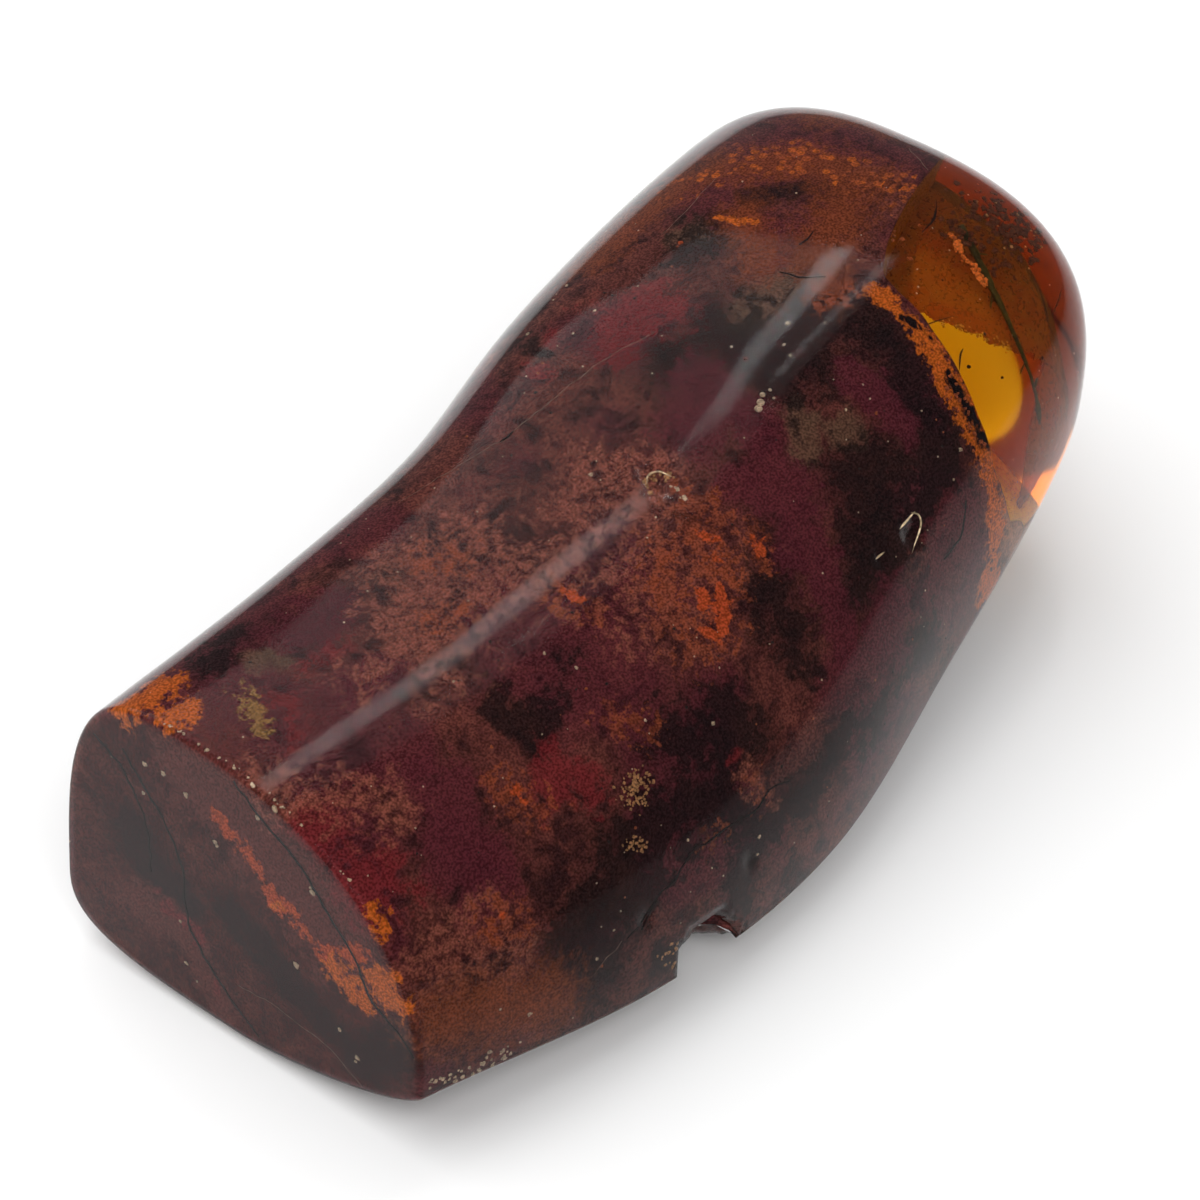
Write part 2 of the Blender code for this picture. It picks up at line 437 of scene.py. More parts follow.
def resin_material():
    """Clear polished resin: plain transmission, IOR and absorption."""
    look = Shading("resin")
    look.shader.distribution = "GGX"
    look.put(look.shader.inputs["Base Color"], (1.0, 1.0, 1.0))
    look.put(look.shader.inputs["Transmission Weight"], 1.0)
    look.put(look.shader.inputs["IOR"], RESIN_IOR)
    look.put(look.shader.inputs["Specular Tint"], RESIN_MIRROR)
    look.put(look.shader.inputs["Roughness"], look.blend(look.noise(2.5, 0), *RESIN_ROUGHNESS))
    look.bump(look.noise(RESIN_WAVES[0], 1), RESIN_WAVES[1])
    absorb = look.nodes.new("ShaderNodeVolumeAbsorption")
    absorb.inputs["Color"].default_value = RESIN_COLOUR
    absorb.inputs["Density"].default_value = RESIN_DENSITY
    look.links.new(absorb.outputs["Volume"], look.output.inputs["Volume"])
    return look.material


def cloudy_material():
    """Cloudy resin: maroon, mottled with black, wine, rust and orange, and full of fine grains."""
    look = Shading("cloudy_resin")
    broad = look.noise(11.0, 1)
    middle = look.noise(3.2, 3, 0.65, 0.8)
    fine = look.noise(0.9, 3, 0.7)
    grain = look.noise(0.2, 0)
    torn = look.math("ADD", look.math("MULTIPLY", middle, 0.55), look.math("MULTIPLY", fine, 0.45))

    colour = look.mix(look.step(torn, 0.32, 0.68), MAROON, RED_BROWN)
    colour = look.mix(look.math("MULTIPLY", look.step(broad, 0.46, 0.60), 0.7), colour, WINE)
    colour = look.mix(look.math("MULTIPLY", look.step(middle, 0.48, 0.34), 0.45), colour, BLACK)
    dull = look.mix(look.step(torn, 0.40, 0.68), DULL, CLAY)
    colour = look.mix(look.math("MULTIPLY", look.field("face"), 0.92), colour, dull)
    colour = look.mix(look.zone("slate", 0.9, 0.40, torn), colour, SLATE)
    for name, ragged, soft, most, paint in COARSE_KINDS:
        colour = look.mix(look.math("MULTIPLY", look.zone(name, ragged, soft, torn), most), colour, paint)
    blush = look.math("MULTIPLY", look.zone("blush", 2.0, 0.6, torn), look.step(fine, 0.34, 0.62))
    colour = look.mix(look.math("MULTIPLY", blush, 0.8), colour, BLUSH)
    strong = look.blend(look.step(middle, 0.38, 0.62), 0.35, 0.95)
    for name, ragged, soft, most, paint in FINE_KINDS:
        share = look.math("MULTIPLY", look.zone(name, ragged, soft, fine), strong if most is None else most)
        colour = look.mix(share, colour, paint)

    near, own = look.cells(0.95)
    scale = look.math("MULTIPLY", look.step(near, 0.52, 0.38), look.step(own, 0.12, 0.26))
    scale = look.math("MULTIPLY", scale, look.zone("scales", 1.1, 0.35, torn))
    tint = look.mix(own, RUST, ORANGE)
    colour = look.mix(look.math("MULTIPLY", scale, 0.85), colour, tint)
    honey = look.mix(look.math("MULTIPLY", look.step(torn, 0.48, 0.68), 0.35), HONEY, ORANGE)
    honey = look.mix(look.field("shade"), honey, look.mix(look.step(torn, 0.35, 0.65), BROWN, RED_BROWN))
    colour = look.mix(look.field("dome"), colour, honey)
    colour = look.mix(look.zone("seam", 0.7, 0.3, fine), colour, BLACK)

    speckle = look.mix(look.step(grain, 0.25, 0.75), GRAIN_DARK, GRAIN_LIGHT)
    colour = look.mix(1.0, colour, speckle, "MULTIPLY")
    look.put(look.shader.inputs["Base Color"], colour)
    look.put(look.shader.inputs["Roughness"], 0.8)
    look.put(look.shader.inputs["Specular IOR Level"], 0.0)
    return look.material


BARK_DARK = (0.012, 0.010, 0.004)
BARK_LIGHT = (0.05, 0.036, 0.012)


def stem_material():
    """The dark green-brown bark of the plant stem."""
    look = Shading("stem")
    colour = look.mix(look.step(look.noise(0.5, 6), 0.35, 0.65), BARK_DARK, BARK_LIGHT)
    look.put(look.shader.inputs["Base Color"], colour)
    look.put(look.shader.inputs["Roughness"], 0.7)
    look.bump(look.noise(0.15, 4), 0.05)
    return look.material


# The cloudy mass

MASS_DEPTH = 0.3
MASS_AROUND = 240
MASS_ON_FACE = 14
MASS_ROWS = 250
DOME_ROWS = 30
# Where the cloudy mass ends along the skin, as (around, s)
MASS_END = [(0, 77.5), (6, 74.6), (15, 73.2), (26, 73.3), (33, 73.4), (40, 73.6), (52, 74.4), (58, 74.8),
            (65, 74.9), (70, 75.5), (74, 79), (77, 84), (81, 91), (86, 98), (125, 99), (145, 94),
            (170, 84), (230, 80), (290, 81), (335, 84), (352, 81), (360, 77.5)]
# How far noise shifts that end, in millimetres
END_WAVE = 0.9
# Where round it the dome turns from honey to brown, as (around, share)
DOME_SHADE = [(0, 0), (58, 0), (68, 0.9), (130, 1), (180, 0.5), (260, 0), (360, 0)]
DOME_TIP = (83.0, -6.0, 12.5)

# The value of a mark's field well away from it
OUTSIDE = -3.0
# Noise sizes that bend the marks, with how far each pushes them, in millimetres
WARPS = [(8.0, 3.2), (3.0, 1.7), (1.2, 0.6)]
# The same for the small marks, which stay nearer their places
LITTLE_WARPS = [(2.4, 0.9), (0.9, 0.5)]
# Without a seed of their own, the noise vectors start from the clock
WARP_SEED = 7
LITTLE_MARKS = ("wine", "orange", "gold", "scales", "rust", "olive", "brown", "slate", "seam", "ember",
                "haze", "pink")

# The kinds of resin in the cloudy mass: strokes over the skin, each with its half width in
# millimetres and the places it goes through, as (s, around). A kind without strokes here lies
# on the cut face alone.
MARKS = {
    "black": [
        (3.3, [(59, 84), (63.5, 85), (62.5, 81), (59.5, 76), (60, 71)]),
        (2.6, [(63, 69), (64.5, 74), (68, 70)]),
        (3.7, [(70, 68), (70, 59), (68.5, 48), (67, 39)]),
        (4.3, [(61.5, 46), (60, 38), (56, 36)]),
        (2.8, [(52.5, 36), (56, 41)]),
        (2.2, [(64, 33), (67, 34)]),
        (2.6, [(10.5, 96), (8.5, 95)]),
        (2.1, [(14.5, 95), (19.5, 92), (23, 89)]),
        (1.2, [(52, 124), (53, 100), (54, 92)]),
        (3.5, [(33.5, 41), (36, 33), (32.5, 30)]),
        (3.9, [(23, 28), (19, 22), (17, 14), (15.5, 8)]),
        (3.5, [(26, 31), (30, 29), (34.5, 13), (31.5, 8)]),
        (1.6, [(20.5, 67), (21, 59), (25.5, 60)]),
        (3.5, [(39.5, 15), (45, 14), (51, 12)]),
        (1.4, [(5, 18)]),
        (2.2, [(23, 5), (26, 1), (29, 357)]),
        (2.4, [(68, 97), (71.5, 90)]),
        (1.9, [(77, 89), (81, 86), (81.5, 82)]),
        (2.4, [(45, 40), (46.5, 46), (48, 52)]),
        (2.6, [(56, 16), (60, 10)]),
    ],
    "wine": [
        (1.9, [(56.5, 79), (56, 72), (55, 65), (54, 59), (52.5, 52), (51.5, 45), (50.5, 38), (50, 30)]),
        (2.6, [(51.5, 64), (53, 56), (51, 50)]),
        (3.5, [(11, 55), (10, 47), (9.5, 38)]),
        (2.8, [(56.5, 80), (52, 76)]),
        (3.0, [(18.5, 90), (14, 91)]),
        (2.6, [(13, 79), (16, 79)]),
        (1.7, [(66, 60), (66, 54), (66, 48)]),
        (2.3, [(71.5, 86), (73.5, 89)]),
        (2.4, [(57, 25), (54, 25), (55, 20)]),
    ],
    "red": [
        (2.8, [(61, 94), (57.5, 91), (59.5, 90)]),
        (1.7, [(55, 102), (55.5, 94)]),
        (2.2, [(21.5, 46), (21.5, 43)]),
        (2.2, [(20, 52), (17.5, 48)]),
        (1.6, [(15, 87), (17.5, 86)]),
        (1.4, [(10, 82), (8.5, 79)]),
        (2.6, [(0.5, 60), (0.5, 53), (1.5, 44)]),
        (1.0, [(34.5, 30)]),
        (1.6, [(49.5, 102), (51.5, 97)]),
    ],
    "rust": [
        (0.9, [(47, 71), (45.5, 67), (44.5, 63)]),
        (0.7, [(48.7, 58), (47.8, 55), (47, 52)]),
        (1.5, [(41.5, 66), (39.5, 62), (38, 57), (37.5, 53)]),
        (1.3, [(46.5, 66), (45, 60), (43, 55), (40.5, 50.5), (38.6, 51)]),
        (1.2, [(44, 62), (43, 58)]),
        (1.2, [(42, 57), (41, 54)]),
        (1.5, [(39, 52), (37.5, 52)]),
        (1.0, [(45.5, 68), (44.5, 65)]),
        (1.0, [(32.5, 72), (33, 67)]),
        (1.3, [(28, 87), (29.5, 86)]),
        (0.9, [(23, 81), (25.5, 79)]),
        (1.1, [(28.5, 46), (27.5, 49)]),
        (1.0, [(15.5, 52), (15.5, 47), (17.5, 45)]),
        (1.3, [(9.5, 28)]),
        (0.9, [(68, 118)]),
        (0.6, [(30.5, 21), (29, 21)]),
        (0.9, [(35.5, 22)]),
        (0.9, [(69.5, 75), (72, 73)]),
    ],
    "blush": [
        (4.4, [(31, 79), (34.5, 71), (38.5, 70), (41, 62)]),
        (3.0, [(25, 88), (30, 86)]),
        (3.0, [(18, 78), (23, 79), (28, 78)]),
        (3.0, [(5, 23), (8.5, 24)]),
        (1.6, [(50, 145), (51.5, 139)]),
        (2.4, [(5, 58), (5, 63), (2.5, 70)]),
        (1.8, [(35.5, 22)]),
        (2.6, [(46, 75), (44, 80)]),
    ],
    "orange": [
        (1.8, [(0.5, 110), (2.5, 108), (3.6, 106)]),
        (1.2, [(1.2, 93), (2.8, 92)]),
        (0.5, [(72.5, 95), (73.3, 90.5)]),
        (0.6, [(84, 83), (84, 80)]),
        (1.0, [(0.5, 42), (0.6, 39.5)]),
        (0.7, [(73.5, 70), (73.9, 64), (74.0, 58)]),
        (1.3, [(73.4, 55), (72.9, 47), (72.6, 40), (72.4, 33), (72.4, 25), (72.4, 14), (71.8, 5),
               (71.2, 358)]),
        (1.0, [(70.2, 3), (69.4, 1)]),
    ],
    "gold": [
        (0.8, [(6.6, 88.5), (5.9, 85.5), (5.6, 83)]),
        (0.5, [(8.5, 91.5)]),
    ],
    "olive": [
        (2.3, [(69, 80), (66.5, 81), (64.5, 82)]),
        (1.6, [(10.5, 92), (12, 90)]),
        (1.2, [(61.5, 57)]),
        (1.2, [(57.5, 60), (60, 62)]),
        (1.9, [(69.5, 97)]),
        (1.7, [(61.5, 56)]),
        (1.5, [(59.3, 63.5), (58.4, 60), (56.9, 59.5)]),
    ],
    "brown": [
        (2.8, [(2.5, 15), (7.5, 11), (12, 8)]),
        (2.6, [(73, 82), (76, 82), (79, 83), (82, 87)]),
        (1.8, [(72.5, 77), (71, 75)]),
        (2.4, [(88, 104), (90, 96), (91, 90)]),
        (2.2, [(64, 120), (72, 118), (79, 110)]),
        (2.6, [(80, 100), (83, 92), (84, 84)]),
        (2.2, [(70, 86), (74, 92)]),
    ],
    "slate": [],
    "ember": [
        (0.6, [(45.8, 63), (44.4, 59)]),
        (0.85, [(42.6, 55), (40.8, 51.3), (39.2, 51)]),
        (0.6, [(41.6, 58), (40.6, 55.5)]),
        (0.5, [(48.2, 57), (47.6, 54)]),
        (0.5, [(32.6, 71), (33, 68)]),
        (0.45, [(16, 50), (16.4, 47.5)]),
        (0.5, [(28.3, 46.5)]),
        (0.55, [(9.6, 29)]),
        (0.35, [(66.5, 96), (67.8, 96)]),
    ],
    "haze": [],
    "pink": [
        (2.6, [(74.4, 9), (75.8, 2), (78, 354), (81, 340)]),
    ],
    "seam": [
        (0.7, [(72.9, 46), (72.5, 40), (72.4, 33), (72.6, 27)]),
        (0.4, [(74.0, 61), (73.8, 57), (73.6, 53)]),
        (0.35, [(71.6, 8), (71.2, 2)]),
    ],
    "scales": [
        (2.1, [(75, 115), (80, 105), (82.5, 94), (84, 88), (84.5, 82), (85.5, 77)]),
    ],
}


# The same on the cut face, with the places as (y, z)
FACE_MARKS = {
    "slate": [
        (3.1, [(8.0, 15.8), (6.2, 13.6), (4.0, 11.8)]),
        (2.0, [(-2.5, 14.0), (-7.0, 11.0), (-12.5, 8.6)]),
        (2.4, [(-20.5, 10.5), (-16.5, 6.5)]),
    ],
    "ember": [
        (0.9, [(-0.5, 23.4), (-4.2, 21.0), (-7.2, 18.0), (-11, 16.6), (-13, 15.6)]),
        (1.0, [(-16.5, 18.6), (-15.4, 16.8)]),
    ],
    "orange": [
        (1.5, [(-14.0, 14.6), (-16.4, 13.5)]),
        (1.3, [(-18.4, 16.9), (-19.4, 15.6), (-20.3, 15.0)]),
        (0.5, [(-7.2, 17.8), (-10.4, 16.6)]),
    ],
    "haze": [
        (4.2, [(1, 26), (-5, 24), (-10, 20.5), (-15, 17)]),
        (2.0, [(8.3, 8.8), (5.2, 8.4), (2.6, 8.0), (0.9, 6.9), (-1.3, 2.5)]),
    ],
    "red": [
        (1.1, [(4.5, 8.7), (0.9, 7.4), (0.4, 4.8)]),
    ],
}

# Cracks in the skin and, as (y, z), in the cut face
CRACKS = [
    [(39, 20), (37, 22), (35.5, 21), (35, 20), (33, 21), (30.5, 21), (28, 22), (26, 20), (24.5, 18),
     (23.5, 18), (22, 16), (21, 14), (19.5, 13)],
    [(23, 17), (22, 15), (21, 13)],
    [(70, 83), (70.5, 80), (72, 77)],
    [(73.5, 84), (74.5, 84), (75.5, 84)],
    [(85.5, 73), (83.5, 70), (81.5, 70)],
    [(64, 20), (67, 19), (68.5, 24)],
    [(42, 94), (43.5, 93.5)],
    [(49, 131), (44, 139)],
]
FACE_CRACKS = [
    [(-2.6, 28.2), (-5.6, 26.0), (-9.4, 23.9), (-12.9, 20.4), (-15.8, 17.3), (-17.6, 13.8), (-20.8, 12.1),
     (-22.2, 10.6)],
    [(12.8, 24.2), (9.5, 22.5), (7.5, 19.4), (6.6, 16.7), (6.3, 13)],
    [(9.5, 24.5), (5.8, 20.5), (4.2, 18.5), (2.7, 15.3), (2.6, 12), (2.0, 9.4), (-0.3, 6.4), (-2.7, 4.3),
     (-5.8, 2.0)],
]
# Thin pale scratches and ridges
SCRATCHES = [
    [(32, 104), (36, 100), (42.5, 94), (48.5, 92), (53.5, 91), (58.5, 89)],
    [(68.5, 104), (72.5, 104), (77, 106)],
    [(45, 125), (47.5, 120), (55, 105)],
    [(90, 89), (88, 84), (87, 79)],
    [(19, 13), (16, 9)],
]
FACE_SCRATCHES = [
    [(-3.1, 6.3), (-7.5, 6.7), (-13.6, 5.8), (-17, 3.8)],
]
CRACK_JITTER = 0.14
CRACK_STEP = 0.8


def on_face(y, z):
    """A place on the cut face, in design millimetres."""
    return lean(np.array([[0.0, y, z]]))[0]


def skin_at(s, around):
    """Points and normals of the skin at arrays of s and around, in design millimetres."""
    s = np.asarray(s, float)
    column = (np.asarray(around, float) % 360) / 360 * AROUND
    row = np.interp(s, ROWS, np.arange(len(ROWS)))
    r0 = np.clip(row.astype(int), 0, len(ROWS) - 2)
    c0 = column.astype(int) % AROUND
    c1 = (c0 + 1) % AROUND
    u = (row - r0)[..., None]
    v = (column - column.astype(int))[..., None]

    def read(table):
        near = table[r0, c0] * (1 - v) + table[r0, c1] * v
        far = table[r0 + 1, c0] * (1 - v) + table[r0 + 1, c1] * v
        return near * (1 - u) + far * u

    return read(GRID), read(NORMALS)


def mass_grid():
    """The cloudy mass: just under the skin, and closed by a dome before the clear end."""
    around = np.arange(MASS_AROUND) / MASS_AROUND * 360
    end = straight(MASS_END, around)
    turn = np.radians(around)
    end += [END_WAVE * noise.noise(Vector((5 * math.cos(a), 5 * math.sin(a), 3))) for a in turn]
    rows = []
    for face in np.linspace(-0.95, -0.03, MASS_ON_FACE):
        point, normal = skin_at(np.full(MASS_AROUND, face), around)
        rows.append(point + np.array([MASS_DEPTH, 0, 0]))
    for share in np.linspace(0, 1, MASS_ROWS):
        point, normal = skin_at(MASS_DEPTH + (end - MASS_DEPTH) * share, around)
        rows.append(point - normal * MASS_DEPTH)
    rim = rows[-1]
    tip = np.array(DOME_TIP)
    for t in np.linspace(0, 1, DOME_ROWS + 1)[1:-1]:
        rows.append(rim + (tip - rim) * t)
    return np.array(rows)


def lay_parts(mesh, grid):
    """Marks which points of the cloudy mass face the cut, and which face the clear end."""
    rows, around = grid.shape[:2]
    face = np.zeros((rows, around))
    face[:MASS_ON_FACE] = 1
    dome = np.zeros((rows, around))
    dome[MASS_ON_FACE + MASS_ROWS:] = 1
    turn = np.linspace(0, 360, around, endpoint=False)
    shade = np.tile(straight(DOME_SHADE, turn), (rows, 1))
    for name, value in (("face", face), ("dome", dome), ("shade", shade)):
        lay_field(mesh, name, value)


# The edge of the brown veil over the clear end, as (around, s), and how it lies under the skin
VEIL_EDGE = [(-28, 81), (-12, 80), (0, 80.5), (4, 82), (8, 84.5), (13, 86), (20, 85.5), (31, 82.8),
             (38, 81.3), (48, 79.5), (54, 78.1), (61, 77.1), (70, 76.4), (78, 76.8), (86, 78),
             (100, 82), (112, 90)]
VEIL_END = 103.3
VEIL_DEPTH = 5.9
VEIL_WAVE = 0.4
VEIL_WAVE_SIZE = 6.0
VEIL_THICKNESS = 0.25
VEIL_EDGE_THICKNESS = 0.04
# Where along s the veil turns to the darker brown of the far rim, and over what length
VEIL_FAR = 86.0
VEIL_FADE = 8.0
VEIL_STEPS = (120, 260)
# How its edge is frayed: the pitch around, in degrees, and how far
VEIL_FRAYS = [(5.0, 0.5), (1.5, 0.3), (0.6, 0.15)]


def sheet_mesh(name, top, under):
    """A closed thin sheet between two grids of points in design millimetres."""
    n, m = top.shape[:2]
    corners = np.concatenate([top.reshape(-1, 3), under.reshape(-1, 3)])
    half = n * m
    faces = []
    for i in range(n - 1):
        for j in range(m - 1):
            a, b, c, d = i * m + j, i * m + j + 1, (i + 1) * m + j + 1, (i + 1) * m + j
            faces.append((a, b, c, d))
            faces.append((half + d, half + c, half + b, half + a))
    rim = list(range(m)) + [i * m + m - 1 for i in range(1, n)]
    rim += [(n - 1) * m + j for j in range(m - 2, -1, -1)] + [i * m for i in range(n - 2, 0, -1)]
    for a, b in zip(rim, rim[1:] + rim[:1]):
        faces.append((b, a, half + a, half + b))
    return closed_mesh(name, corners, faces)


def veil_mesh():
    """The brown veil: a thin wavy sheet under the skin of the clear end, with a frayed edge."""
    across, along = VEIL_STEPS
    around = np.linspace(VEIL_EDGE[0][0], VEIL_EDGE[-1][0], along)
    edge = straight(VEIL_EDGE, around)
    for pitch, fray in VEIL_FRAYS:
        edge += np.array([fray * noise.noise(Vector((a / pitch, 7, 0))) for a in around])
    layers = []
    runs = []
    for share in np.linspace(0, 1, across) ** 1.5:
        s = edge + (VEIL_END - edge) * share
        runs.append(s)
        point, normal = skin_at(s, around)
        wave = np.array([noise.noise(Vector(p) / VEIL_WAVE_SIZE) for p in point]) * VEIL_WAVE
        layers.append((point - normal * (VEIL_DEPTH + wave)[:, None], normal))
    top = np.array([layer[0] for layer in layers])
    normal = np.array([layer[1] for layer in layers])
    thick = np.full(top.shape[:2], VEIL_THICKNESS)
    thick[0] = thick[-1] = VEIL_EDGE_THICKNESS
    mesh = sheet_mesh("brown_veil", top, top - normal * thick[:, :, None])
    far = np.clip((np.array(runs) - VEIL_FAR) / VEIL_FADE, 0, 1).ravel()
    lay_field(mesh, "far", np.concatenate([far, far]))
    return mesh


VEIL_BROWN = (0.47, 0.19, 0.10)
VEIL_RED = (0.47, 0.135, 0.08)
VEIL_DUST = (0.16, 0.07, 0.04)
VEIL_RIM = (0.25, 0.125, 0.08)
# How much light the veil lets through
VEIL_CLEAR = 0.6


def veil_material():
    """Brown resin that lets some light through, with red streaks and dark dust."""
    look = Shading("brown_veil")
    middle = look.noise(5.0, 2, 0.6, 1.5)
    fine = look.noise(0.35, 1, 0.65)
    colour = look.mix(look.step(middle, 0.25, 0.75), VEIL_BROWN, VEIL_RED)
    colour = look.mix(look.math("MULTIPLY", look.step(fine, 0.5, 0.72), 0.5), colour, VEIL_DUST)
    far = look.math("ADD", look.field("far"), look.math("SUBTRACT", middle, 0.5))
    colour = look.mix(look.step(far, 0.3, 0.9), colour, VEIL_RIM)
    look.put(look.shader.inputs["Base Color"], colour)
    look.put(look.shader.inputs["Transmission Weight"], VEIL_CLEAR)
    look.put(look.shader.inputs["IOR"], 1.0)
    look.put(look.shader.inputs["Roughness"], 0.0)
    return look.material


def spine_of(route, face):
    """A route's points and normals, over the skin or over the cut face."""
    if face:
        points = np.array([on_face(y, z) for y, z in route])
        return points, np.tile([-1.0, 0.0, 0.0], (len(points), 1))
    return skin_at([s for s, a in route], [a for s, a in route])


def near_stroke(points, width, route, face):
    """How deep inside a stroke each point lies: 1 on its line, 0 at its edge, less outside it."""
    spine, normals = spine_of(route, face)
    if len(spine) == 1:
        spine = np.repeat(spine, 2, axis=0)
    nearest = np.full(len(points), np.inf)
    for start, end in zip(spine[:-1], spine[1:]):
        line = end - start
        length = max((line**2).sum(), 1e-9)
        t = np.clip((points - start) @ line / length, 0, 1)
        gap = points - start - t[:, None] * line
        nearest = np.minimum(nearest, (gap**2).sum(axis=1))
    return np.clip(1 - np.sqrt(nearest) / width, OUTSIDE, 1)


def jagged(spine, normals):
    """A route cut into short steps and shaken sideways, as a crack runs."""
    along = np.concatenate([[0], np.cumsum(np.linalg.norm(np.diff(spine, axis=0), axis=1))])
    at = np.linspace(0, along[-1], max(int(along[-1] / CRACK_STEP), 2) + 1)
    spine = np.column_stack([np.interp(at, along, spine[:, k]) for k in range(3)])
    normals = np.column_stack([np.interp(at, along, normals[:, k]) for k in range(3)])
    tangent = np.gradient(spine, axis=0)
    side = np.cross(normals, tangent)
    side /= np.linalg.norm(side, axis=1)[:, None]
    shake = np.array([noise.noise(Vector(p) * 1.9) for p in spine]) * 2 * CRACK_JITTER
    shake[0] = shake[-1] = 0
    return spine + side * shake[:, None], normals


def warp(points, warps):
    """How noise pushes the points about, so that marks measured from them come out irregular."""
    noise.seed_set(WARP_SEED)
    push_of = np.zeros_like(points)
    for size, push in warps:
        push_of += np.array([noise.noise_vector(Vector(p) / size) for p in points]) * push
    return push_of


def lay_marks(mesh, grid):
    """Gives a mesh over a grid the value of every kind of mark at each of its points."""
    still = grid.reshape(-1, 3)
    large = still + warp(still, WARPS)
    little = still + warp(still, LITTLE_WARPS)
    for kind, strokes in MARKS.items():
        points = little if kind in LITTLE_MARKS else large
        value = np.full(len(points), OUTSIDE)
        for width, route in strokes:
            value = np.maximum(value, near_stroke(points, width, route, False))
        for width, route in FACE_MARKS.get(kind, []):
            value = np.maximum(value, near_stroke(points, width, route, True))
        lay_field(mesh, kind, value)


# Small things in the resin, each with the places it lies at, as (s, around) or, on the cut face,
# (y, z). Their sizes and depths are in millimetres.

GRAIN_DEPTH = 0.24
PALE_SPECKS = [(19.5, 71), (54, 117), (58.5, 119), (60.5, 119), (58, 101), (55, 101), (43.5, 82),
               (34.5, 39), (61, 80), (27.5, 24), (34, 12), (34.5, 15), (29, 16), (30, 13), (16.5, 12),
               (18.5, 16), (27, 66), (28, 61), (29.5, 47), (7.5, 11), (10, 7), (63.5, 72), (64, 74),
               (66, 76), (63, 58), (68, 30), (70, 33)]
PALE_SIZE = 0.15
FACE_SPECKS = [(-0.7, 20.5), (-0.9, 20.2), (-10.9, 21.9), (-11.1, 21.5), (5.0, 24.4), (2.5, 23.6),
               (-4.5, 28.7), (-6.9, 27.7), (-5.2, 25.8), (-9.6, 12.6), (2.4, 5.1), (1.2, 3.8),
               (-16.4, 6.7), (-16.2, 6.2), (7.0, 24.2), (10.7, 22.9), (7.2, 21.0), (15.8, 10.5),
               (3.1, 9.4), (-14.4, 8.6)]
FACE_SIZE = 0.26
# Bubbles, each with its radius
BUBBLES = [(57.5, 70.0, 0.36), (58.1, 70.4, 0.36), (58.8, 71.0, 0.26), (59.6, 70.6, 0.16),
           (59.2, 69.2, 0.12)]
# Heaps of grains, as (kind, places they follow, how many, how far they spread, size, depth); three heaps
# are painted light: glints along the notch and along the veil's edge, and a highlight along the cut edge
HEAPS = [
    ("gold", [(24, 38), (25.5, 39), (26.5, 39), (25, 37), (24.5, 36)], 120, 1.2, 0.105, GRAIN_DEPTH),
    ("gold", [(22, 30), (23, 30), (23.5, 28)], 40, 0.7, 0.10, GRAIN_DEPTH),
    ("gold", [(45, 74), (46, 76), (47.2, 75), (47.4, 73)], 26, 0.35, 0.16, GRAIN_DEPTH),
    ("pale", [(1, 2), (3, 1), (5, 1), (7, 1), (8.5, 1)], 44, 0.8, 0.15, GRAIN_DEPTH),
    # painted glints: gold specks over the notch's broken face stand in for light sparkling off its facets
    ("gold", [(22.6, 6), (24.5, 3), (26.5, -2), (29.5, -4)], 34, 1.0, 0.15, GRAIN_DEPTH),
    ("pale", [(46.5, 75), (47, 71), (46.6, 69.5)], 12, 0.3, 0.13, GRAIN_DEPTH),
    # painted highlight: a thin line of pale specks along the cut edge stands in for the light along that
    # edge
    ("pale", [(0.5, 93), (0.5, 80), (0.5, 66), (0.5, 50)], 34, 0.2, 0.10, 0.12),
    ("rust", [(72.5, 44), (72.3, 30), (72.2, 12)], 50, 1.0, 0.16, GRAIN_DEPTH),
    ("flake", [(86.5, 67), (87, 60), (88.3, 48)], 220, 2.6, 0.26, 1.5),
    ("ember", [(83.8, 66), (82.8, 60), (82.3, 52)], 90, 0.4, 0.17, 1.2),
    ("gold", [(87.5, 55), (88.5, 47), (86.3, 66)], 14, 2.5, 0.12, 0.7),
    ("rust", [(76, 80), (79, 78), (81, 72)], 40, 3.0, 0.17, 1.0),
    # painted glints: gold specks along the brown veil's edge stand in for light glinting on that edge
    ("gold", [(78.1, 54), (79.7, 48), (81.3, 38), (82.6, 31)], 44, 0.5, 0.11, 5.7),
]
# Dust over the seen part of the skin, as (kind, how many, size), and where it lies
DUST = [("pale", 210, 0.065), ("dark", 120, 0.11), ("rust", 60, 0.11)]
DUST_S = (1, 96)
DUST_AROUND = (-30, 150)
GRAIN_SEED = 7
GRAIN_COLOURS = {
    # pale and gold also colour the painted highlight along the cut edge and the painted glints
    "pale": (0.70, 0.52, 0.36),
    "gold": (0.55, 0.27, 0.12),
    "dark": (0.02, 0.012, 0.012),
    "rust": (0.42, 0.10, 0.035),
    "ember": (0.85, 0.20, 0.04),
    "flake": (0.11, 0.026, 0.014),
}

# Dark fibres in the clear end: the radius at the middle, then the design points from end to end
FIBRES = [
    (0.06, [(74.6, -16.2, 33.8), (76.7, -16.9, 33.7), (78.6, -17.6, 33.5)]),
    (0.05, [(76.2, -13.9, 34.9), (75.6, -15.4, 34.2), (75.0, -17.1, 33.4)]),
    (0.07, [(88.9, -18.5, 32.7), (87.7, -21.0, 30.8), (87.0, -22.0, 29.6), (86.9, -23.1, 27.8)]),
    (0.06, [(91.0, -20.5, 30.3), (89.6, -21.2, 30.1), (87.9, -21.7, 29.7)]),
    (0.22, [(73.7, -19.7, 31.5), (74.3, -20.2, 31.2), (75.2, -20.7, 31.2)]),
    (0.09, [(75.2, -20.7, 31.2), (76.4, -19.9, 31.7), (77.2, -19.6, 31.8)]),
    (0.17, [(76.2, -20.8, 30.9), (76.4, -20.8, 30.9), (76.6, -20.9, 30.8)]),
    (0.12, [(78.7, -22.7, 29.1), (78.9, -22.7, 29.1), (79.0, -22.8, 29.0)]),
]
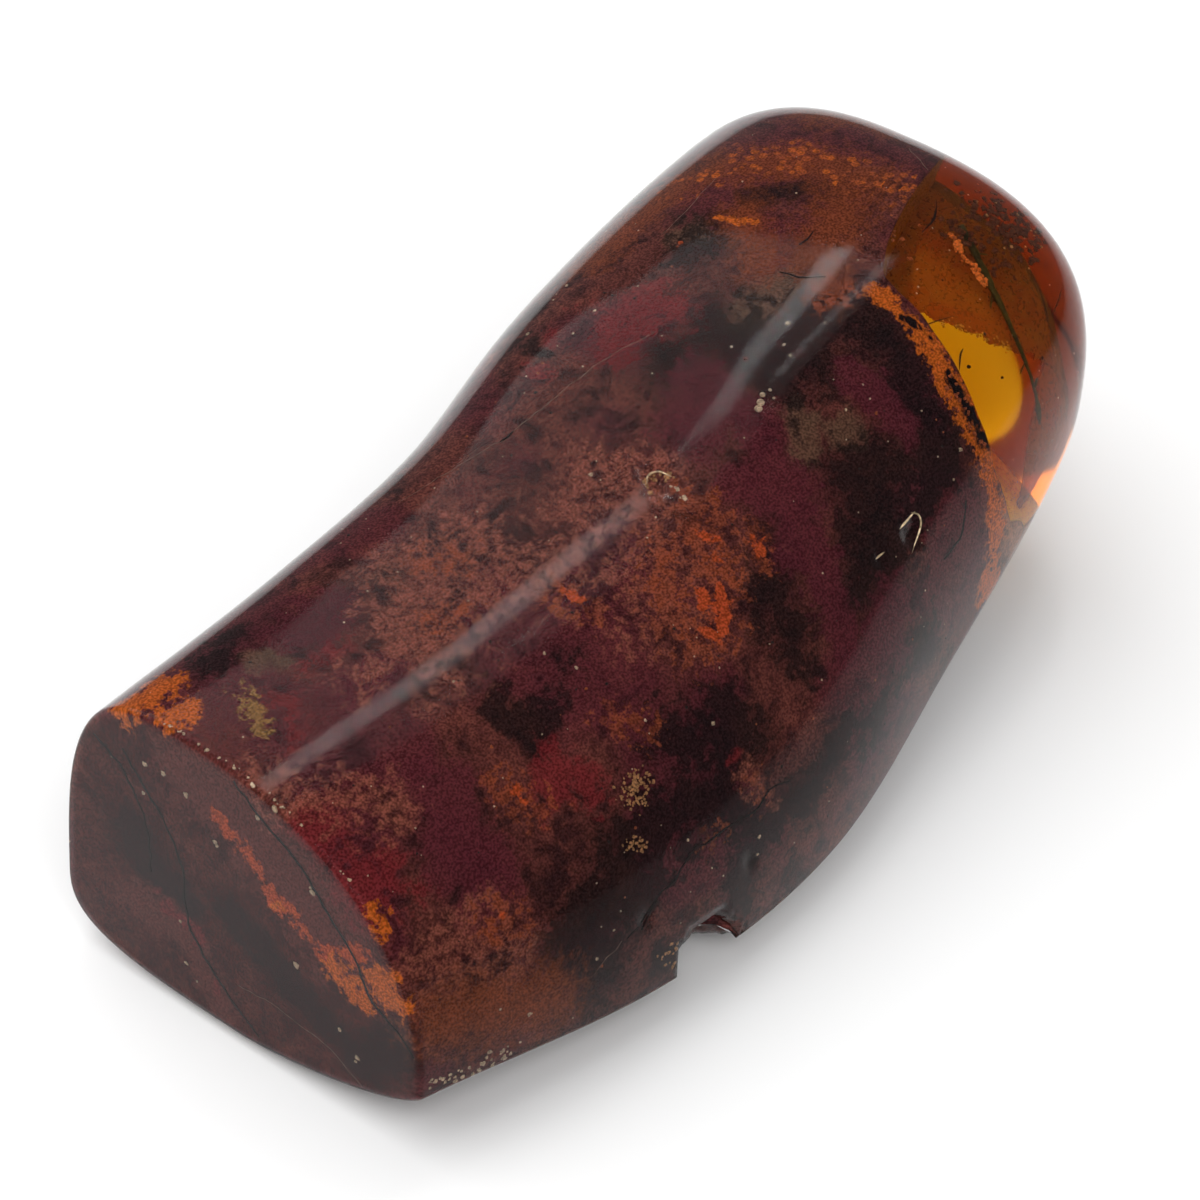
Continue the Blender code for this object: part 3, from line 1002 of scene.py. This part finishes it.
# Pale slivers in the broken skin, as places (s, around)
SLIVERS = [
    (0.10, [(62.2, 34.4), (62.8, 32.4), (62.4, 30.4), (60.4, 28.8)]),
    (0.12, [(62.6, 33.8), (61.2, 34.2), (60.3, 34.4)]),
    (0.10, [(57.7, 34.6), (57.1, 34.9), (56.6, 35.2)]),
    (0.10, [(45.6, 75.2), (46.4, 76.0), (47.3, 75.2), (47.5, 73.2)]),
]
SLIVER_DEPTH = 0.08
FIBRE_SIDES = 10
FIBRE_STEPS = 40
# How a fibre tapers: the power of its curve, and the share of its radius left at the ends
TAPER_POWER = 0.6
TAPER_END = 0.12
# The relief of bark, as (waves in a millimetre, height)
BARK_NOISE = [(3.0, 1.0), (8.0, 0.5)]
FIBRE_COLOUR = (0.05, 0.018, 0.010)
SLIVER_COLOUR = (0.75, 0.55, 0.34)

CRACK_WIDTH = 0.23
CRACK_DEPTH = 0.34
CRACK_TOP = 0.015
SCRATCH_WIDTH = 0.07
SCRATCH_TOP = 0.24


# The fine lines: the piece, its routes, its width, its top's depth and its colour
LINES = [
    ("crack_dirt", CRACKS, FACE_CRACKS, CRACK_WIDTH, CRACK_TOP, (0.016, 0.005, 0.005)),
    ("scratches", SCRATCHES, FACE_SCRATCHES, SCRATCH_WIDTH, SCRATCH_TOP, (0.34, 0.20, 0.16)),
]


def ball():
    """The corners and faces of a small ball of radius 1."""
    bm = bmesh.new()
    bmesh.ops.create_icosphere(bm, subdivisions=2, radius=1.0)
    corners = np.array([v.co[:] for v in bm.verts])
    faces = [[v.index for v in f.verts] for f in bm.faces]
    bm.free()
    return corners, faces


def joined_mesh(name, parts):
    """One mesh from (corners, faces) parts in design millimetres."""
    corners = []
    faces = []
    for part_corners, part_faces in parts:
        start = sum(len(c) for c in corners)
        corners.append(np.asarray(part_corners))
        faces += [[start + index for index in face] for face in part_faces]
    mesh = bpy.data.meshes.new(name)
    mesh.from_pydata(in_metres(np.concatenate(corners)).tolist(), [], faces)
    mesh.update()
    mesh.shade_smooth()
    return mesh


def grain(place, normal, size, number, rough=0.8):
    """A rough grain that lies flat under the skin."""
    corners, faces = BALL
    bumps = np.array([noise.noise(Vector(c) * 1.3 + Vector((number * 3.1, 0, 0))) for c in corners])
    shape = corners * (1 + rough * bumps)[:, None] * size
    shape *= 1 + 0.5 * rough * np.array([noise.noise(Vector((number, k, 5.0))) for k in range(3)])
    shape -= 0.45 * np.outer(shape @ normal, normal)
    return shape + place, faces


def heap_places(route, count, spread, random):
    """Places scattered about a route over the skin."""
    at = random.uniform(0, len(route) - 1, count)
    s, around = [np.interp(at, range(len(route)), values) for values in zip(*route)]
    s = s + random.normal(0, spread / 2, count)
    around = around + random.normal(0, spread, count)
    return np.maximum(s, 0.2), around


def all_grains():
    """Every grain, with the specks painted as glints and as a highlight, by its kind."""
    random = np.random.default_rng(GRAIN_SEED)
    sets = []
    s, around = np.array(PALE_SPECKS).T
    sets.append(("pale", s, around, PALE_SIZE, GRAIN_DEPTH))
    for kind, route, count, spread, size, depth in HEAPS:
        sets.append((kind, *heap_places(route, count, spread, random), size, depth))
    for kind, count, size in DUST:
        s, around = random.uniform(*DUST_S, count), random.uniform(*DUST_AROUND, count)
        sets.append((kind, s, around, size, GRAIN_DEPTH))
    kinds = {kind: [] for kind in GRAIN_COLOURS}
    for kind, s, around, size, depth in sets:
        places, normals = skin_at(s, around)
        for place, normal in zip(places, normals):
            own = size * random.uniform(0.55, 1.35)
            number = random.uniform(0, 100)
            kinds[kind].append(grain(place - normal * depth, normal, own, number))
    for y, z in FACE_SPECKS:
        place = on_face(y, z) + np.array([GRAIN_DEPTH, 0, 0])
        own = FACE_SIZE * random.uniform(0.5, 1.3)
        kinds["pale"].append(grain(place, np.array([-1.0, 0, 0]), own, random.uniform(0, 100)))
    for s, around, size in BUBBLES:
        place, normal = skin_at([s], [around])
        kinds["pale"].append(grain(place[0] - normal[0] * GRAIN_DEPTH, normal[0], size, 0, 0.0))
    return kinds


def tube(points, radius, sides=FIBRE_SIDES, bark=0.0):
    """A tapered tube through points, its skin roughened by the bark height."""
    points = np.asarray(points, float)
    share = np.linspace(0, 1, len(points))
    t = np.linspace(0, 1, FIBRE_STEPS + 1)
    route = np.column_stack([smooth(list(zip(share, points[:, k])), t) for k in range(3)])
    along = np.gradient(route, axis=0)
    along /= np.maximum(np.linalg.norm(along, axis=1), 1e-9)[:, None]
    if isinstance(radius, list):
        reach = smooth(radius, t)
    else:
        reach = radius * np.maximum(np.sin(t * math.pi) ** TAPER_POWER, TAPER_END)
    turn = np.arange(sides) / sides * 2 * math.pi
    corners = []
    for place, forward, size in zip(route, along, reach):
        out = np.cross(forward, (1.0, 0.0, 0.0))
        out /= np.linalg.norm(out)
        up = np.cross(forward, out)
        ring_of = place + size * (np.outer(np.cos(turn), out) + np.outer(np.sin(turn), up))
        if bark:
            shake = np.array([sum(height * noise.noise(Vector(p) * pitch) for pitch, height in BARK_NOISE)
                              for p in ring_of])
            ring_of += (ring_of - place) * (shake * bark)[:, None]
        corners.extend(ring_of)
    faces = [list(range(sides))[::-1], [FIBRE_STEPS * sides + j for j in range(sides)]]
    for i in range(FIBRE_STEPS):
        for j in range(sides):
            k = (j + 1) % sides
            faces.append([i * sides + j, i * sides + k, (i + 1) * sides + k, (i + 1) * sides + j])
    return np.array(corners), faces


def wedge(spine, normals, widest, top_depth):
    """A crack or scratch: a wedge from near the skin down to the cloudy mass."""
    tangent = np.gradient(spine, axis=0)
    side = np.cross(normals, tangent)
    side /= np.linalg.norm(side, axis=1)[:, None]
    count = len(spine)
    t = np.linspace(0, 1, count)
    width = widest * np.sin(np.clip(t, 0.02, 0.98) * math.pi) ** 0.5
    width *= 0.75 + 0.8 * np.array([noise.noise(Vector(p) * 0.9) for p in spine])
    top = spine - normals * top_depth
    corners = np.concatenate([top + side * width[:, None] / 2, top - side * width[:, None] / 2,
                              spine - normals * CRACK_DEPTH])
    faces = [[0, 2 * count, count], [count - 1, 2 * count - 1, 3 * count - 1]]
    for i in range(count - 1):
        faces.append([i, count + i, count + i + 1, i + 1])
        faces.append([count + i, 2 * count + i, 2 * count + i + 1, count + i + 1])
        faces.append([2 * count + i, i, i + 1, 2 * count + i + 1])
    return corners, faces


def plain_material(name, colour, rough, size):
    """An opaque material whose colour varies from place to place."""
    look = Shading(name)
    dark = tuple(0.45 * part for part in colour)
    pale = tuple(min(1.2 * part, 1.0) for part in colour)
    colour = look.mix(look.step(look.noise(size, 2), 0.3, 0.7), dark, pale)
    look.put(look.shader.inputs["Base Color"], colour)
    look.put(look.shader.inputs["Roughness"], rough)
    look.put(look.shader.inputs["Specular IOR Level"], 0.2)
    return look.material


# The plant stem: its route and thickness as the solid has them, with its bud and side fibres
STEM_ROUTE = [(-12.2, 35.2), (-15.9, 31.2), (-19.5, 27.8), (-22.5, 24.8), (-23.6, 22.3)]
STEM_RADIUS = [(0.0, 0.34), (0.2, 0.36), (0.45, 0.25), (0.8, 0.22), (0.9, 0.34), (1.0, 0.14)]
PARTING_X = 82.5
PARTING_LEAN = 0.2
STEM_TWIGS = [
    (0.16, (-22.4, 25.0), (0.6, -0.1, 0.9)),
    (0.10, (-16.4, 30.8), (-1.3, -0.4, -1.4)),
    (0.09, (-14.2, 33.2), (1.2, -0.3, -1.0)),
    (0.08, (-20.8, 26.6), (-0.9, 0.2, -1.0)),
]


def in_parting(y, z):
    """A place in the plane that the stem lies in."""
    return np.array([PARTING_X + PARTING_LEAN * (y + z), y, z])


def stem_parts():
    """The stem, its bud and its side fibres."""
    parts = [tube([in_parting(y, z) for y, z in STEM_ROUTE], STEM_RADIUS, 16, 0.35)]
    for radius, (y, z), reach in STEM_TWIGS:
        foot = in_parting(y, z)
        parts.append(tube([foot, foot + np.array(reach) * 0.6, foot + np.array(reach)], radius, 8, 0.2))
    return parts


# Where the polished skin is broken: the place, the radius and the depth in millimetres
PITS = [((46.7, 74.2), 1.2, 0.40), ((61.2, 31.8), 1.2, 0.45), ((57.0, 34.6), 0.7, 0.30),
        ((53.0, 37.5), 0.6, 0.2), ((33.0, 12.0), 0.8, 0.25), ((21.5, 14.5), 0.9, 0.25)]


def pitted(grid, normals):
    """The grid with the little pits broken into it."""
    out = grid.copy()
    for (s, around), radius, depth in PITS:
        middle = skin_at([s], [around])[0][0]
        gap = np.linalg.norm(grid - middle, axis=2)
        for index in zip(*np.nonzero(gap < radius * 1.5)):
            ragged = 1 + 0.6 * noise.noise(Vector(grid[index]) * 1.5)
            share = min(max(1.2 - gap[index] / (radius * ragged), 0.0), 1.0)
            out[index] = grid[index] - normals[index] * depth * share
    return out


BALL = ball()
GRID = pitted(GRID, NORMALS)
NORMALS = grid_normals(GRID)

amber_mesh = grid_mesh("amber", GRID)
amber = add_piece("amber", amber_mesh, resin_material())
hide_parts("amber_body", "amber_clear_end")
MASS = mass_grid()
cloud_mesh = grid_mesh("cloudy_resin", MASS)
lay_marks(cloud_mesh, MASS)
lay_parts(cloud_mesh, MASS)
add_piece("cloudy_resin", cloud_mesh, cloudy_material())
add_piece("brown_veil", veil_mesh(), veil_material())
for kind, grains in all_grains().items():
    add_piece(kind + "_grains", joined_mesh(kind + "_grains", grains),
              plain_material(kind + "_grain", GRAIN_COLOURS[kind], 0.6, 0.2))
for name, routes, face_routes, width, top, colour in LINES:
    wedges = [wedge(*jagged(*spine_of(route, False)), width, top) for route in routes]
    wedges += [wedge(*jagged(*spine_of(route, True)), width, top) for route in face_routes]
    add_piece(name, joined_mesh(name, wedges), plain_material(name, colour, 0.9, 0.5))
fibres = [tube(points, radius) for radius, points in FIBRES]
fibre_look = plain_material("fibre", FIBRE_COLOUR, 0.7, 0.4)
add_piece("fibres", joined_mesh("fibres", fibres), fibre_look)
slivers = []
for radius, route in SLIVERS:
    places, normals = skin_at([p[0] for p in route], [p[1] for p in route])
    slivers.append(tube(places - normals * SLIVER_DEPTH, radius))
sliver_look = plain_material("sliver", SLIVER_COLOUR, 0.6, 0.3)
add_piece("slivers", joined_mesh("slivers", slivers), sliver_look)
stem = add_piece("stem", joined_mesh("stem", stem_parts()), stem_material())
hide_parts("plant_stem")

# Camera, floor and lights

PHOTO = 1200
CAMERA_AZIMUTH = math.radians(-51.5)
CAMERA_ELEVATION = math.radians(43.5)
CAMERA_DISTANCE = 0.34
CAMERA_TARGET = in_metres((45.0, -5.0, 17.0))
PIXELS_PER_MM = 11.5
SENSOR = 36.0

FLOOR_REACH = 3.0
FLOOR_COLOUR = (0.9, 0.9, 0.9)
# How far the floor lies under the rest plane, in metres
FLOOR_GAP = 0.0002
WORLD_STRENGTH = 0.22
# The lights: name, size in metres, watts, the azimuth and elevation they come from, their distance
# and the height that they look at
LIGHTS = [
    ("key", (1.9, 1.9), 21.0, (108, 62), 1.3, 0.02),
    ("fill", (1.0, 0.8), 9.0, (-122, 48), 1.3, 0.02),
    ("streak", (0.045, 0.22), 0.34, (26, 64), 0.7, 0.03),
    ("side_streak", (0.02, 0.15), 0.07, (8, 62), 0.7, 0.03),
]


def add_camera():
    """The camera at the photograph's angle."""
    data = bpy.data.cameras.new("camera")
    data.sensor_width = SENSOR
    data.lens = SENSOR * PIXELS_PER_MM * CAMERA_DISTANCE / MM / PHOTO
    data.clip_start = 0.01
    camera = bpy.data.objects.new("camera", data)
    bpy.context.scene.collection.objects.link(camera)
    back = Vector((
        math.sin(CAMERA_AZIMUTH) * math.cos(CAMERA_ELEVATION),
        -math.cos(CAMERA_AZIMUTH) * math.cos(CAMERA_ELEVATION),
        math.sin(CAMERA_ELEVATION),
    ))
    camera.location = Vector(CAMERA_TARGET) + back * CAMERA_DISTANCE
    camera.rotation_euler = (-back).to_track_quat("-Z", "Y").to_euler()
    bpy.context.scene.camera = camera


def add_light(name, size, power, place, target):
    """A soft rectangular light that looks at a target."""
    data = bpy.data.lights.new(name, "AREA")
    data.shape = "RECTANGLE"
    data.size, data.size_y = size
    data.energy = power
    light = bpy.data.objects.new(name, data)
    bpy.context.scene.collection.objects.link(light)
    light.location = place
    light.rotation_euler = (Vector(target) - Vector(place)).to_track_quat("-Z", "Y").to_euler()


def add_floor():
    """A plain pale floor."""
    mesh = bpy.data.meshes.new("floor")
    corners = [(x * FLOOR_REACH, y * FLOOR_REACH, 0) for x, y in ((-1, -1), (1, -1), (1, 1), (-1, 1))]
    mesh.from_pydata(corners, [], [(0, 1, 2, 3)])
    floor = bpy.data.objects.new("floor", mesh)
    bpy.context.scene.collection.objects.link(floor)
    look = Shading("floor")
    look.put(look.shader.inputs["Base Color"], FLOOR_COLOUR)
    look.put(look.shader.inputs["Roughness"], 0.9)
    look.put(look.shader.inputs["Specular IOR Level"], 0.1)
    mesh.materials.append(look.material)
    floor.location.z = -FLOOR_GAP


def add_world():
    """A soft dim surround."""
    world = bpy.data.worlds.new("world")
    world.use_nodes = True
    background = world.node_tree.nodes["Background"]
    background.inputs["Color"].default_value = (1, 1, 1, 1)
    background.inputs["Strength"].default_value = WORLD_STRENGTH
    bpy.context.scene.world = world


def from_direction(azimuth, elevation, distance):
    """The place at a distance from the object's middle in a direction given in degrees."""
    a = math.radians(azimuth)
    e = math.radians(elevation)
    flat = math.cos(e) * distance
    return (flat * math.cos(a), flat * math.sin(a), math.sin(e) * distance + 0.02)


add_camera()
add_floor()
add_world()
for name, size, power, direction, distance, height in LIGHTS:
    add_light(name, size, power, from_direction(*direction, distance), (0, 0, height))
bpy.context.scene.view_settings.view_transform = "Standard"
